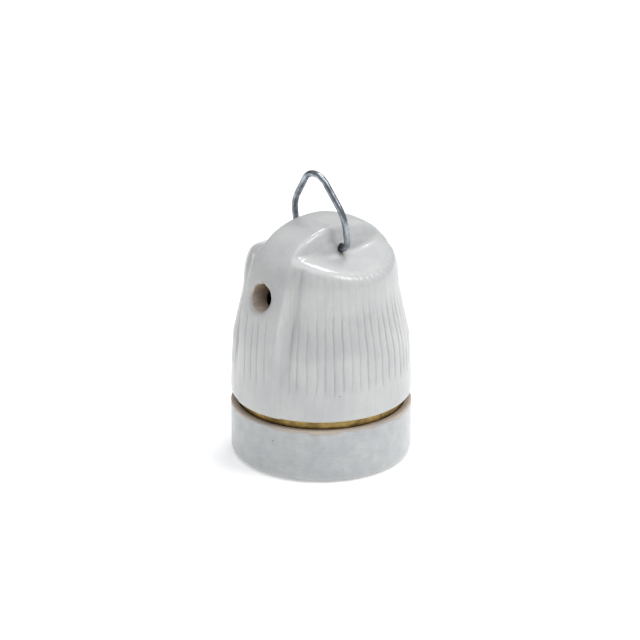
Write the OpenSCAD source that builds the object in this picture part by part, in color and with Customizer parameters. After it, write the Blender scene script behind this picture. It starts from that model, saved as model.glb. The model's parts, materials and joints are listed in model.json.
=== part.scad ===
// Porcelain pendant lampholder for a screw-in heat lamp, with a wire hanging bail.
// Z is the lamp axis and points up, z = 0 is the open rim of the skirt ring.
// X runs along the spine of the hood, with the cable entry on the -X side.
// The bail swings about a line parallel to Y. All sizes are in millimetres.

/* [Show] */
// sub-part to draw, "all" for the whole fixture

/* [Porcelain] */
// outside diameter of the skirt ring and of the hood
outer_d = 62; // [60:0.5:66]
// height of the skirt ring
skirt_h = 19; // [17:0.2:19.4]
// open seam between the skirt ring and the hood, where the brass shows
seam_h = 2.8; // [1.6:0.1:3]
// clear opening of the skirt ring
mouth_d = 44; // [42:1:48]
// top of the hood's spine above the rim
hood_top = 84; // [83:0.5:86]
// width of the spine that carries the bail
spine_w = 19.2; // [17:0.2:19.6]

/* [Cable entry] */
// bore for the cable
cable_d = 9; // [7:0.5:10]
// height of the cable bore's axis
cable_z = 62; // [60:0.5:64]

/* [Bail] */
// wire diameter
wire_d = 2.2; // [1.8:0.1:2.4]
// pivot line to the crown of the bail, on the wire's centre line
bail_rise = 24.8; // [22:0.2:32]
// half of the width between the straight legs
bail_half = 12.4; // [12.4:0.1:13.6]
// lean of the stored bail towards the cable entry
bail_lean = 8; // [0:0.5:20]
// how far the bail has slid sideways along its two pins
bail_shift = -0.7; // [-0.8:0.1:0.8]

/* [Lamp thread] */
// crest diameter of the lamp thread in the screw shell
lamp_crest_d = 24.5; // [24.4:0.05:24.7]
// root diameter of the lamp thread in the screw shell
lamp_root_d = 26.7; // [26.6:0.05:26.9]
// pitch of the lamp thread, seven turns to the inch
lamp_pitch = 3.629; // [3.6:0.001:3.65]

/* [Terminals] */
// shank diameter of the two terminal screws
screw_d = 3.1; // [2.8:0.1:3.2]

/* [Hidden] */
$fn = 96;
outer_r = outer_d / 2;
mouth_r = mouth_d / 2;
hood_z = skirt_h + seam_h;
spine_y = spine_w / 2;
pivot_z = 75.5;
pivot_r = 1.6;
pin_l = 6.4;
pin_hole_l = 6;
scoop_r = 60;
scoop_tilt = 11;
scoop_drop = 2;
wire_r = wire_d / 2;
// drawn wire is slightly thinner where it has been bent
bend_thinning = 0.05;
bend_lap = 0.3;
crown_bend = 6.3;
knee_bend = 14;
pin_bend = 3.4;

// levels inside, counted from the rim
ledge_z = 6;
collar_top_z = 33.3;
flange_z = 33.4;
seat_z = 37.4;
floor_z = 36;
boss_z = 34.2;
deck_z = 44;
sleeve_z = 12;

// radii of the screwed joint between hood and skirt ring
band_r = 28.5;
bore_r = 28.85;
collar_crest_r = 27.6;
collar_root_r = 27.15;
hood_crest_r = 27.9;
hood_root_r = 28.35;
sheet = 0.35;
joint_pitch = 2.5;
joint_start_z = hood_z + 1.6;

// screw shell and the contact parts on the insert
shell_crest_r = lamp_crest_d / 2;
shell_root_r = lamp_root_d / 2;
shell_sheet = 0.35;
sleeve_in_r = shell_root_r + shell_sheet + 0.25;
sleeve_out_r = 16.6;
boss_r = 7.4;
deck_r = 24.4;
well_l = 3.6;
notch_r = 3;
rivet_r = 1.5;
rivet_head_r = 2.3;
rivet_head_h = 0.6;
rivet_bore_r = 0.8;
leaf_w = 5.2;
leaf_t = 0.4;
leaf_bend_r = 1.5;
plate_w = 7.2;
plate_t = 2;
saddle_w = 6.8;
saddle_t = 0.9;
head_r = 2.9;
head_h = 2.1;
slot_w = 0.8;
slot_depth = 1;
contact_x = 4.75;
shell_rivet_r = 10.6;
terminal_reach = 8.3;

// points on an arc about c, from angle a to angle b
function arc(c, r, a, b, n = 8) =
    [for (i = [0:n]) c + r * [cos(a + (b - a) * i / n), sin(a + (b - a) * i / n)]];

// points on a cubic curve through p and s with the handles q and r
function curve(p, q, r, s, n = 9) =
    [for (i = [0:n]) let (t = i / n, u = 1 - t)
        p * u * u * u + 3 * q * u * u * t + 3 * r * u * t * t + s * t * t * t];

// one side of a rolled thread: rings at crest and root radius, going up
function ring_steps(crest, root, pitch, z, turns) =
    [for (i = [0:turns - 1])
        each [
            [crest, z + i * pitch],
            [crest, z + (i + 0.22) * pitch],
            [root, z + (i + 0.5) * pitch],
            [root, z + (i + 0.72) * pitch]
        ]];

function backwards(list) = [for (i = [len(list) - 1:-1:0]) list[i]];

function shift_x(list, d) = [for (p = list) [p[0] + d, p[1]]];

// hood side below the shoulder, shared by the body and the spine
function flank() = concat(
    arc([outer_r - 1.2, hood_z + 1.1], 1.1, -90, 0, 5),
    [[outer_r, hood_z + 4]]
);

function body_side() = concat(
    flank(),
    [[outer_r - 0.7, 41]],
    curve([outer_r - 0.9, 43], [29.3, 48.5], [26.8, 56], [26.3, 62], 5),
    curve([26.1, 65], [25.6, 71.5], [23.4, 75.2], [17, 77.4], 8),
    [[0, 79.4]]
);

function spine_side() = concat(
    flank(),
    curve([outer_r, 31], [outer_r + 0.9, 47], [29.9, 55.5], [27.5, 63], 8),
    curve([27.2, 64], [24.6, 73], [20.5, 80.6], [9, hood_top - 1], 9),
    [[0, hood_top]]
);

// half of the spine's cross-section, straight at the sides and rounded over the top
function spine_edge() = concat(
    [[0, 31], [spine_y, 31]],
    curve([spine_y, 74], [spine_y, 80], [7, hood_top - 1], [2.5, hood_top + 0.1], 5),
    [[0, hood_top + 0.1]]
);

function cavity_side() = concat(
    [[bore_r, hood_z - 1], [bore_r, seat_z], [25.6, seat_z], [25.6, 47]],
    curve([25.6, 47], [24.5, 57], [19.5, 70], [0, 70], 9)
);

// a scoop beside the spine, where a leg of the bail swings
module scoop() {
    intersection() {
        translate([0, -spine_y - 0.4, pivot_z - scoop_drop])
        rotate([90 + scoop_tilt, 0, 0])
        translate([0, scoop_r, -12])
        cylinder(r = scoop_r, h = 40);
        translate([-outer_r, -40, cable_z]) cube([outer_d, 40 - spine_y, 40]);
    }
}

module hood() {
    color("#e6e6e3")
    difference() {
        union() {
            rotate_extrude() polygon(concat([[0, hood_z]], body_side()));
            intersection() {
                rotate_extrude() polygon(concat([[0, hood_z]], spine_side()));
                translate([-40, 0, 0]) rotate([90, 0, 90]) linear_extrude(80)
                for (side = [0, 1]) mirror([side, 0]) polygon(spine_edge());
            }
        }
        rotate_extrude() polygon(concat([[0, hood_z - 1]], cavity_side()));
        scoop();
        mirror([0, 1, 0]) scoop();
        for (side = [-1, 1])
            translate([0, side * (spine_y + 3.4), pivot_z])
            rotate([side * 90, 0, 0])
            cylinder(r = pivot_r, h = pin_hole_l + 3.4);
        translate([-40, 0, cable_z]) rotate([0, 90, 0]) cylinder(r = cable_d / 2, h = 30);
    }
}

module hood_thread() {
    inside = ring_steps(hood_crest_r, hood_root_r, joint_pitch, joint_start_z, 5);
    color("#b49a5c")
    rotate_extrude()
    polygon(concat(
        [[hood_root_r, joint_start_z - 0.9]],
        inside,
        [[hood_root_r, seat_z - 1.2]],
        [[hood_root_r + sheet, seat_z - 1.2]],
        backwards(shift_x(inside, sheet)),
        [[hood_root_r + sheet, joint_start_z - 0.9]]
    ));
}

// straight piece of wire between two points in the Y-Z plane
module wire_run(a, b) {
    d = b - a;
    translate([0, a[0], a[1]])
    rotate([-atan2(d[0], d[1]), 0, 0])
    cylinder(r = wire_r, h = norm(d));
}

// wire through points in the Y-Z plane, every inner point bent to its own radius
module wire(points, bends) {
    last = len(points) - 1;
    turn = [for (i = [1:last - 1]) let (u = points[i] - points[i - 1], v = points[i + 1] - points[i])
        atan2(u[0] * v[1] - u[1] * v[0], u * v)];
    trim = concat([0], [for (i = [1:last - 1]) bends[i - 1] * tan(abs(turn[i - 1]) / 2)], [0]);
    // each straight run reaches a little way over the bends next to it
    for (i = [0:last - 1]) {
        way = (points[i + 1] - points[i]) / norm(points[i + 1] - points[i]);
        wire_run(
            points[i] + way * (trim[i] - (i > 0 ? bend_lap : 0)),
            points[i + 1] - way * (trim[i + 1] - (i < last - 1 ? bend_lap : 0))
        );
    }
    for (i = [1:last - 1]) {
        way = (points[i] - points[i - 1]) / norm(points[i] - points[i - 1]);
        side = sign(turn[i - 1]);
        from = points[i] - way * trim[i];
        centre = from + side * bends[i - 1] * [-way[1], way[0]];
        start = atan2(from[1] - centre[1], from[0] - centre[0]);
        translate([0, centre[0], centre[1]])
        rotate([90, 0, 90])
        rotate([0, 0, side > 0 ? start : start + turn[i - 1]])
        rotate_extrude(angle = abs(turn[i - 1]))
        translate([bends[i - 1], 0])
        circle(r = wire_r - bend_thinning, $fn = 48);
    }
}

module bail() {
    // above the knee each leg leans in by this angle, towards a corner that the crown's bend cuts off
    lean_in = 35.3;
    knee = [bail_half + 0.1, 11.8];
    tip = [0, bail_rise + crown_bend * (1 / sin(lean_in) - 1)];
    color("#9aa0a6")
    translate([0, bail_shift, pivot_z])
    rotate([0, -bail_lean, 0])
    wire(
        [
            [pin_l - bail_half, 0],
            [-bail_half, 0],
            [-knee[0], knee[1]],
            tip,
            knee,
            [bail_half, 0],
            [bail_half - pin_l, 0]
        ],
        [pin_bend, knee_bend, crown_bend, knee_bend, pin_bend]
    );
}

module skirt_ring() {
    color("#e6e6e3")
    rotate_extrude()
    polygon(concat(
        arc([mouth_r + 1.5, 1.5], 1.5, 180, 270, 5),
        arc([outer_r - 2.8, 2.8], 2.8, -90, 0, 8),
        arc([outer_r - 0.5, skirt_h - 0.5], 0.5, 0, 90, 3),
        [[band_r + 0.15, skirt_h], [band_r + 0.15, ledge_z]],
        arc([mouth_r + 1.2, ledge_z - 1.2], 1.2, 90, 180, 4)
    ));
}

module collar() {
    thread = ring_steps(collar_crest_r, collar_root_r, joint_pitch, joint_start_z, 4);
    foot_z = ledge_z + 0.05;
    color("#b49a5c")
    rotate_extrude()
    polygon(concat(
        [[25.2, foot_z], [band_r, foot_z], [band_r, hood_z + 0.1]],
        [[collar_crest_r, hood_z + 0.7]],
        thread,
        [[collar_root_r, collar_top_z], [collar_root_r - sheet, collar_top_z]],
        backwards(shift_x(thread, -sheet)),
        [[collar_crest_r - sheet, hood_z + 0.4], [band_r - sheet, hood_z - 0.2]],
        [[band_r - sheet, foot_z + sheet], [25.2, foot_z + sheet]]
    ));
}

// hole through the insert for a rivet, with room for its shank
module rivet_hole(x, y) {
    translate([x, y, boss_z - 4]) cylinder(r = rivet_r + 0.1, h = 14);
}

// well in the deck under the end of a terminal screw
module screw_well(x, y) {
    translate([x, y, deck_z - well_l]) cylinder(r = screw_d / 2 + 0.55, h = well_l + 1);
}

module insert() {
    color("#ecebe6")
    difference() {
        rotate_extrude()
        polygon(concat(
            [[0, boss_z], [boss_r, boss_z], [boss_r, floor_z]],
            [[sleeve_in_r, floor_z], [sleeve_in_r, sleeve_z]],
            arc([sleeve_out_r - 1, sleeve_z + 1], 1, -90, 0, 4),
            [[sleeve_out_r, flange_z]],
            [[hood_crest_r - 0.4, flange_z], [hood_crest_r - 0.4, seat_z - 0.1]],
            [[deck_r, seat_z - 0.1], [deck_r, deck_z - 0.6], [deck_r - 0.6, deck_z]],
            [[0, deck_z]]
        ));
        rivet_hole(contact_x, 0);
        rivet_hole(0, -shell_rivet_r);
        rivet_hole(0, shell_rivet_r);
        screw_well(contact_x + terminal_reach, 0);
        screw_well(0, -shell_rivet_r - terminal_reach);
        // two wire notches in the edge of the deck
        for (a = [150, 210])
            rotate([0, 0, a]) translate([deck_r, 0, seat_z + 1.6]) cylinder(r = notch_r, h = 10);
    }
}

module screw_shell() {
    inside = ring_steps(shell_crest_r, shell_root_r, lamp_pitch, sleeve_z + 1.3, 5);
    top_z = floor_z - 0.05;
    color("#c9a85a")
    difference() {
        rotate_extrude()
        polygon(concat(
            [[shell_root_r, sleeve_z + 0.4]],
            inside,
            [[shell_root_r, top_z - shell_sheet], [8, top_z - shell_sheet], [8, top_z]],
            [[shell_root_r + shell_sheet, top_z]],
            backwards(shift_x(inside, shell_sheet)),
            [[shell_root_r + shell_sheet, sleeve_z + 0.4]]
        ));
        for (side = [-1, 1])
            translate([0, side * shell_rivet_r, top_z - 2]) cylinder(r = rivet_r + 0.05, h = 4);
    }
}

module contact_pad() {
    color("#c58f54")
    difference() {
        translate([contact_x - 2.2, -leaf_w / 2, boss_z - 0.05 - leaf_t]) cube([4.4, leaf_w, leaf_t]);
        translate([contact_x, 0, boss_z - 2]) cylinder(r = rivet_r + 0.05, h = 4);
    }
}

// springy part of the centre contact, bent down towards the lamp
module contact_tongue() {
    root_x = contact_x - 2.3;
    color("#c58f54")
    translate([0, leaf_w / 2, 0])
    rotate([90, 0, 0])
    linear_extrude(leaf_w)
    polygon(concat(
        [[root_x, boss_z - 0.05], [root_x, boss_z - 0.05 - leaf_t]],
        arc([-1, boss_z - 1.2], leaf_bend_r + leaf_t, -50, -130, 6),
        [[-4.4, boss_z - 1.2 - leaf_t], [-4.4, boss_z - 1.2]],
        arc([-1, boss_z - 1.2], leaf_bend_r, -130, -50, 6)
    ));
}

// tubular rivet along Z with a low head at each end
module rivet(low, high) {
    difference() {
        union() {
            translate([0, 0, low]) cylinder(r = rivet_r, h = high - low);
            for (z = [low - rivet_head_h, high])
                translate([0, 0, z]) cylinder(r = rivet_head_r, h = rivet_head_h);
        }
        translate([0, 0, low - 2]) cylinder(r = rivet_bore_r, h = high - low + 4);
    }
}

module contact_rivet() {
    color("#b49a5c") translate([contact_x, 0, 0]) rivet(boss_z - 0.1 - leaf_t, deck_z + plate_t + 0.1);
}

module shell_rivets() {
    color("#b49a5c")
    for (side = [-1, 1])
        translate([0, side * shell_rivet_r, 0])
        rivet(floor_z - 0.1 - shell_sheet, side < 0 ? deck_z + plate_t + 0.1 : deck_z + 0.05);
}

// flat terminal lying along +X, its rivet at the origin and its screw at the reach
module terminal() {
    difference() {
        translate([-2.5, -plate_w / 2, deck_z + 0.05]) cube([terminal_reach + 6.1, plate_w, plate_t]);
        translate([0, 0, deck_z - 1]) cylinder(r = rivet_r + 0.05, h = 5);
        translate([terminal_reach, 0, deck_z - 1]) cylinder(r = screw_d / 2 + 0.05, h = 5);
    }
}

module saddle() {
    low = deck_z + plate_t + 0.15;
    difference() {
        translate([terminal_reach - saddle_w / 2, -saddle_w / 2, low]) cube([saddle_w, saddle_w, saddle_t]);
        translate([terminal_reach, 0, low - 1]) cylinder(r = screw_d / 2 + 0.35, h = 3);
    }
}

module terminal_screw() {
    low = deck_z + 1 - well_l;
    head = deck_z + plate_t + saddle_t + 0.25;
    translate([terminal_reach, 0, 0])
    difference() {
        union() {
            translate([0, 0, low]) cylinder(r = screw_d / 2, h = head - low + 0.5);
            translate([0, 0, head]) cylinder(r = head_r, h = head_h);
        }
        translate([-5, -slot_w / 2, head + head_h - slot_depth]) cube([10, slot_w, 2]);
    }
}

module at_line() {
    translate([contact_x, 0, 0]) children();
}

module at_shell() {
    translate([0, -shell_rivet_r, 0]) rotate([0, 0, -90]) children();
}

module line_terminal() {
    color("#b49a5c") at_line() terminal();
}

module shell_terminal() {
    color("#b49a5c") at_shell() terminal();
}

module line_saddle() {
    color("#a9abad") at_line() saddle();
}

module shell_saddle() {
    color("#a9abad") at_shell() saddle();
}

module line_screw() {
    color("#a9abad") at_line() terminal_screw();
}

module shell_screw() {
    color("#a9abad") at_shell() terminal_screw();
}

hood();
hood_thread();
bail();
skirt_ring();
collar();
insert();
screw_shell();
contact_pad();
contact_tongue();
contact_rivet();
shell_rivets();
line_terminal();
shell_terminal();
line_saddle();
shell_saddle();
line_screw();
shell_screw();
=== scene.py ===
import json
import math

import bpy
import numpy as np
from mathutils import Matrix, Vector


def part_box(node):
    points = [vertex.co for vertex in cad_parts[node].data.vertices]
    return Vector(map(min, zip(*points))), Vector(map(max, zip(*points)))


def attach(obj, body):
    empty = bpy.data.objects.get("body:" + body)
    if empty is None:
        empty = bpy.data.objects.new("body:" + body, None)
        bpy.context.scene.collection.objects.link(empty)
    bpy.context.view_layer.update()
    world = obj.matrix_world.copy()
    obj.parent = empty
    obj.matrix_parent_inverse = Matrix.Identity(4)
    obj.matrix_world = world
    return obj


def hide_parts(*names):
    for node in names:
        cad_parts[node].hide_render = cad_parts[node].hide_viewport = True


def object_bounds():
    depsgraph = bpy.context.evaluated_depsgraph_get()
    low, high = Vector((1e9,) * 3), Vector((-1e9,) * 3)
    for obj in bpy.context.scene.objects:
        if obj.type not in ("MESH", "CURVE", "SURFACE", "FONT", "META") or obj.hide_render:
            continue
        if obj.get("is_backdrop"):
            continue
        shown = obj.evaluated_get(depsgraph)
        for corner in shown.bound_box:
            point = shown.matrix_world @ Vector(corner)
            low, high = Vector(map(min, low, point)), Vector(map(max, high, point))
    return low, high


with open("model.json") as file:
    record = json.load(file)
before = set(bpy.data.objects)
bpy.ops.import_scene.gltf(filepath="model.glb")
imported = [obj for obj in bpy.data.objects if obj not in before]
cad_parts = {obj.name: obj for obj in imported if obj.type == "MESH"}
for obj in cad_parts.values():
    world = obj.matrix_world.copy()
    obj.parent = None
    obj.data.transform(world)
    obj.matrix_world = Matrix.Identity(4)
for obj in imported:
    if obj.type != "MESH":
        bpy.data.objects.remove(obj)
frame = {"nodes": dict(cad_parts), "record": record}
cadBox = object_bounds()
nodes = frame["nodes"]
mm = 0.001
bailJoint = next(j for j in frame["record"]["behaviour"]["joints"] if j["name"] == "bail_swing")
cableMount = next(m for m in frame["record"]["mounts"] if m["name"] == "cable_entry")
pivotZ, cableZ = bailJoint["pos_m"][2] / mm, cableMount["pos_m"][2] / mm


def lowHigh(node):
    low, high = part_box(node)
    return low.z / mm, high.z / mm


# helpers for selecting, cutting and finishing a piece

def clearSelection():
    if bpy.context.mode != "OBJECT":
        bpy.ops.object.mode_set(mode="OBJECT")
    bpy.ops.object.select_all(action="DESELECT")


def makeActive(piece):
    clearSelection()
    piece.select_set(True)
    bpy.context.view_layer.objects.active = piece


def bakePlace(piece):
    makeActive(piece)
    bpy.ops.object.transform_apply(location=True, rotation=True, scale=True)


def applyModifiers(piece):
    makeActive(piece)
    for modifier in list(piece.modifiers):
        bpy.ops.object.modifier_apply(modifier=modifier.name)


def smoothShade(piece, degrees=35):
    makeActive(piece)
    bpy.ops.object.shade_smooth_by_angle(angle=math.radians(degrees))


def outwardFaces(piece, mergeAt=0.005):
    makeActive(piece)
    bpy.ops.object.mode_set(mode="EDIT")
    bpy.ops.mesh.select_all(action="SELECT")
    bpy.ops.mesh.remove_doubles(threshold=mergeAt * mm)
    bpy.ops.mesh.normals_make_consistent(inside=False)
    bpy.ops.object.mode_set(mode="OBJECT")


def addMesh(name, points, edges, faces):
    mesh = bpy.data.meshes.new(name)
    mesh.from_pydata([tuple(p) for p in points], edges, faces)
    piece = bpy.data.objects.new(name, mesh)
    bpy.context.collection.objects.link(piece)
    return piece


def spinOutline(name, outline, steps, centre=(0, 0)):
    closing = [(i, (i + 1) % len(outline)) for i in range(len(outline))]
    points = [((centre[0] + r) * mm, centre[1] * mm, z * mm) for r, z in outline]
    piece = addMesh(name, points, closing, [])
    makeActive(piece)
    bpy.ops.object.mode_set(mode="EDIT")
    bpy.ops.mesh.select_all(action="SELECT")
    bpy.ops.mesh.spin(steps=steps, angle=math.tau, center=(centre[0] * mm, centre[1] * mm, 0), axis=(0, 0, 1))
    bpy.ops.object.mode_set(mode="OBJECT")
    outwardFaces(piece)
    return piece


def rodCutter(radius, depth, location, rotation=(0, 0, 0), vertices=48):
    clearSelection()
    bpy.ops.mesh.primitive_cylinder_add(vertices=vertices, radius=radius * mm, depth=depth * mm,
                                        location=[v * mm for v in location], rotation=rotation)
    return bpy.context.object


def blockCutter(size, location, turn=0):
    clearSelection()
    bpy.ops.mesh.primitive_cube_add(size=1, location=[v * mm for v in location], rotation=(0, 0, turn))
    bpy.context.object.scale = [v * mm for v in size]
    bakePlace(bpy.context.object)
    return bpy.context.object


def cutAway(piece, cutters):
    for cutter in cutters:
        cut = piece.modifiers.new("cut", "BOOLEAN")
        cut.operation = "DIFFERENCE"
        cut.solver = "EXACT"
        cut.object = cutter
    applyModifiers(piece)
    for cutter in cutters:
        bpy.data.objects.remove(cutter)
    outwardFaces(piece, 0.001)


def writeAttribute(piece, name, values):
    layer = piece.data.attributes.get(name) or piece.data.attributes.new(name, "FLOAT", "POINT")
    layer.data.foreach_set("value", np.asarray(values, dtype=np.float32))


def vertexArray(piece):
    points = np.empty(len(piece.data.vertices) * 3)
    piece.data.vertices.foreach_get("co", points)
    return points.reshape(-1, 3) / mm


def moveVertices(piece, points):
    piece.data.vertices.foreach_set("co", (points * mm).reshape(-1))
    piece.data.update()


def finishPiece(piece, body, material, slotName, *replaced):
    piece.data.materials.clear()
    piece.data.materials.append(material)
    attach(piece, body)
    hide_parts(*replaced)
    print(piece.name, len(piece.data.polygons), "faces")


def arcPoints(centre, radius, start, end, count):
    turns = [math.radians(start + (end - start) * i / count) for i in range(count + 1)]
    return [(centre[0] + radius * math.cos(a), centre[1] + radius * math.sin(a)) for a in turns]


def curvePoints(a, b, c, d, count):
    out = []
    for i in range(count + 1):
        t, u = i / count, 1 - i / count
        out.append(tuple(a[k] * u ** 3 + 3 * b[k] * u * u * t + 3 * c[k] * u * t * t + d[k] * t ** 3 for k in (0, 1)))
    return out


def stepUp(a, b, v):
    t = np.clip((v - a) / (b - a), 0, 1)
    return t * t * (3 - 2 * t)


def softMin(a, b, k):
    h = np.clip(0.5 + 0.5 * (b - a) / k, 0, 1)
    return b * (1 - h) + a * h - k * h * (1 - h)


def softMax(a, b, k):
    return -softMin(-a, -b, k)


# materials

def linearColour(hexText):
    out = []
    for i in (0, 2, 4):
        v = int(hexText[i:i + 2], 16) / 255
        out.append(v / 12.92 if v <= 0.04045 else ((v + 0.055) / 1.055) ** 2.4)
    return (*out, 1.0)


def newMaterial(name):
    material = bpy.data.materials.new(name)
    material.use_nodes = True
    tree = material.node_tree
    tree.nodes.clear()
    output = tree.nodes.new("ShaderNodeOutputMaterial")
    shader = tree.nodes.new("ShaderNodeBsdfPrincipled")
    tree.links.new(shader.outputs[0], output.inputs[0])
    return material, tree, shader


def addNode(tree, kind, settings=None, values=None, links=None):
    node = tree.nodes.new(kind)
    for key, value in (settings or {}).items():
        setattr(node, key, value)
    for key, value in (values or {}).items():
        node.inputs[key].default_value = value
    for key, socket in (links or {}).items():
        tree.links.new(socket, node.inputs[key])
    return node


def setStops(node, stops):
    elements = node.color_ramp.elements
    while len(elements) > 1:
        elements.remove(elements[-1])
    elements[0].position, elements[0].color = stops[0]
    for position, colour in stops[1:]:
        elements.new(position).color = colour
    return node.outputs[0]


def grey(v):
    return (v, v, v, 1)


# hard-paste porcelain, dipped and fired: a cool white with painted shade darkening every flute groove,
# with soft clouding, a few iron specks and a wet gloss broken by faint orange peel
glazeLook = {
    "body": "cbcccb",
    "cloud": "bec0c1",
    # dark colour of the painted shade in the flute grooves, also the tone of the drawn streaks
    "grooveShadeAndStreaks": "94908a",
    # brown of the painted shade in bores, creases and the seam, also of the ring edge's own stain
    "darkening": "a88d70",
    "speck": "6d6459",
    "cloudMm": 13.0,
    "peelMm": 1.6,
    "grainMm": 0.5,
    "speckMm": 7.0,
    "speckSize": 0.05,
    "drawnMm": 0.9,
    "drawnStretch": (1.0, 1.0, 0.07),
    "drawnDepth": 0.12,
}


def glazedPorcelain(name, look, grooveShadeDepth, coatRoughness, peel):
    material, tree, shader = newMaterial(name)
    coords = addNode(tree, "ShaderNodeTexCoord").outputs["Object"]

    def noise(sizeMm, detail, roughness=0.5):
        values = {"Scale": 1 / (sizeMm * mm), "Detail": detail, "Roughness": roughness}
        return addNode(tree, "ShaderNodeTexNoise", values=values, links={"Vector": coords}).outputs["Fac"]

    def mask(attribute):
        return addNode(tree, "ShaderNodeAttribute", {"attribute_name": attribute}).outputs["Fac"]

    def multiply(a, b):
        return addNode(tree, "ShaderNodeMath", {"operation": "MULTIPLY"}, links={0: a, 1: b}).outputs[0]

    def blendColour(factor, a, hexText):
        return addNode(tree, "ShaderNodeMix", {"data_type": "RGBA"}, {"B": linearColour(hexText)},
                       {"Factor": factor, "A": a}).outputs["Result"]

    def stops(source, *pairs):
        return setStops(addNode(tree, "ShaderNodeValToRGB", links={0: source}), [(p, grey(v)) for p, v in pairs])

    cloud, peelNoise, grain = noise(look["cloudMm"], 5, 0.6), noise(look["peelMm"], 2), noise(look["grainMm"], 3)
    tone = setStops(addNode(tree, "ShaderNodeValToRGB", links={0: cloud}),
                    [(0.36, linearColour(look["body"])), (0.66, linearColour(look["cloud"]))])
    # painted shade darkening the flute grooves
    grooveShade = multiply(mask("paintedGrooveShade"), stops(noise(3.0, 3), (0.3, grooveShadeDepth * 0.45), (0.62, grooveShadeDepth)))
    tone = blendColour(grooveShade, tone, look["grooveShadeAndStreaks"])
    spots = addNode(tree, "ShaderNodeTexVoronoi", values={"Scale": 1 / (look["speckMm"] * mm)},
                    links={"Vector": coords}).outputs["Distance"]
    size = look["speckSize"]
    speck = multiply(stops(spots, (0.0, 0.9), (size * 0.6, 0.7), (size, 0.0)), stops(cloud, (0.5, 0.0), (0.56, 1.0)))
    tone = blendColour(speck, tone, look["speck"])
    along = addNode(tree, "ShaderNodeMapping", values={"Scale": look["drawnStretch"]}, links={"Vector": coords}).outputs[0]
    drawnValues = {"Scale": 1 / (look["drawnMm"] * mm), "Detail": 3, "Roughness": 0.6}
    drawn = addNode(tree, "ShaderNodeTexNoise", values=drawnValues, links={"Vector": along}).outputs["Fac"]
    tone = blendColour(stops(drawn, (0.46, 0.0), (0.72, look["drawnDepth"])), tone, look["grooveShadeAndStreaks"])
    # brown painted shade in the hood's bores and creases and in the seam, mixed with the ring edge's own stain
    darkening = multiply(mask("paintedShadeAndStain"), stops(grain, (0.3, 0.55), (0.6, 1.0)))
    tone = blendColour(darkening, tone, look["darkening"])
    bare = mask("bareClay")
    clay = setStops(addNode(tree, "ShaderNodeValToRGB", links={0: grain}),
                    [(0.35, linearColour("c9b8a4")), (0.56, linearColour("d8cdbf")), (0.74, linearColour("9a7f66"))])
    tone = addNode(tree, "ShaderNodeMix", {"data_type": "RGBA"},
                   links={"Factor": bare, "A": tone, "B": clay}).outputs["Result"]
    tree.links.new(tone, shader.inputs["Base Color"])
    rough = addNode(tree, "ShaderNodeMapRange", values={"To Min": 0.3, "To Max": 0.5},
                    links={"Value": cloud}).outputs[0]
    rough = addNode(tree, "ShaderNodeMix", {"data_type": "FLOAT"}, {"B": 0.8},
                    {"Factor": bare, "A": rough}).outputs["Result"]
    tree.links.new(rough, shader.inputs["Roughness"])
    wetValues = {"From Min": 0.0, "From Max": 0.6, "To Min": 0.6, "To Max": 0.0}  # bare clay has no glaze coat
    wetness = addNode(tree, "ShaderNodeMapRange", values=wetValues, links={"Value": bare})
    tree.links.new(wetness.outputs[0], shader.inputs["Coat Weight"])
    height = addNode(tree, "ShaderNodeMath", {"operation": "MULTIPLY_ADD"}, {1: 0.12},
                     {0: grain, 2: peelNoise}).outputs[0]
    height = addNode(tree, "ShaderNodeMath", {"operation": "MULTIPLY_ADD"}, {1: 0.5}, {0: drawn, 2: height}).outputs[0]
    bump = addNode(tree, "ShaderNodeBump", values={"Strength": peel, "Distance": 0.12 * mm},
                   links={"Height": height}).outputs[0]
    tree.links.new(bump, shader.inputs["Normal"])
    tree.links.new(bump, shader.inputs["Coat Normal"])
    shader.inputs["Coat Roughness"].default_value = coatRoughness
    shader.inputs["Coat IOR"].default_value = 1.52
    shader.inputs["IOR"].default_value = 1.45
    return material


# unglazed biscuit porcelain: chalky, warm, with the grain of the pressing powder
def biscuitPorcelain(name):
    material, tree, shader = newMaterial(name)
    coords = addNode(tree, "ShaderNodeTexCoord").outputs["Object"]
    grain = addNode(tree, "ShaderNodeTexNoise", values={"Scale": 1 / (0.5 * mm), "Detail": 4},
                    links={"Vector": coords}).outputs["Fac"]
    cloud = addNode(tree, "ShaderNodeTexNoise", values={"Scale": 1 / (9 * mm), "Detail": 4},
                    links={"Vector": coords}).outputs["Fac"]
    both = addNode(tree, "ShaderNodeMath", {"operation": "MULTIPLY_ADD"}, {1: 0.35}, {0: grain, 2: cloud}).outputs[0]
    tone = setStops(addNode(tree, "ShaderNodeValToRGB", links={0: both}),
                    [(0.45, linearColour("e4e0d6")), (0.7, linearColour("d3cdc0")), (0.9, linearColour("bfb5a4"))])
    tree.links.new(tone, shader.inputs["Base Color"])
    bump = addNode(tree, "ShaderNodeBump", values={"Strength": 0.35, "Distance": 0.1 * mm}, links={"Height": grain})
    tree.links.new(bump.outputs[0], shader.inputs["Normal"])
    shader.inputs["Roughness"].default_value = 0.66
    return material


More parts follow.
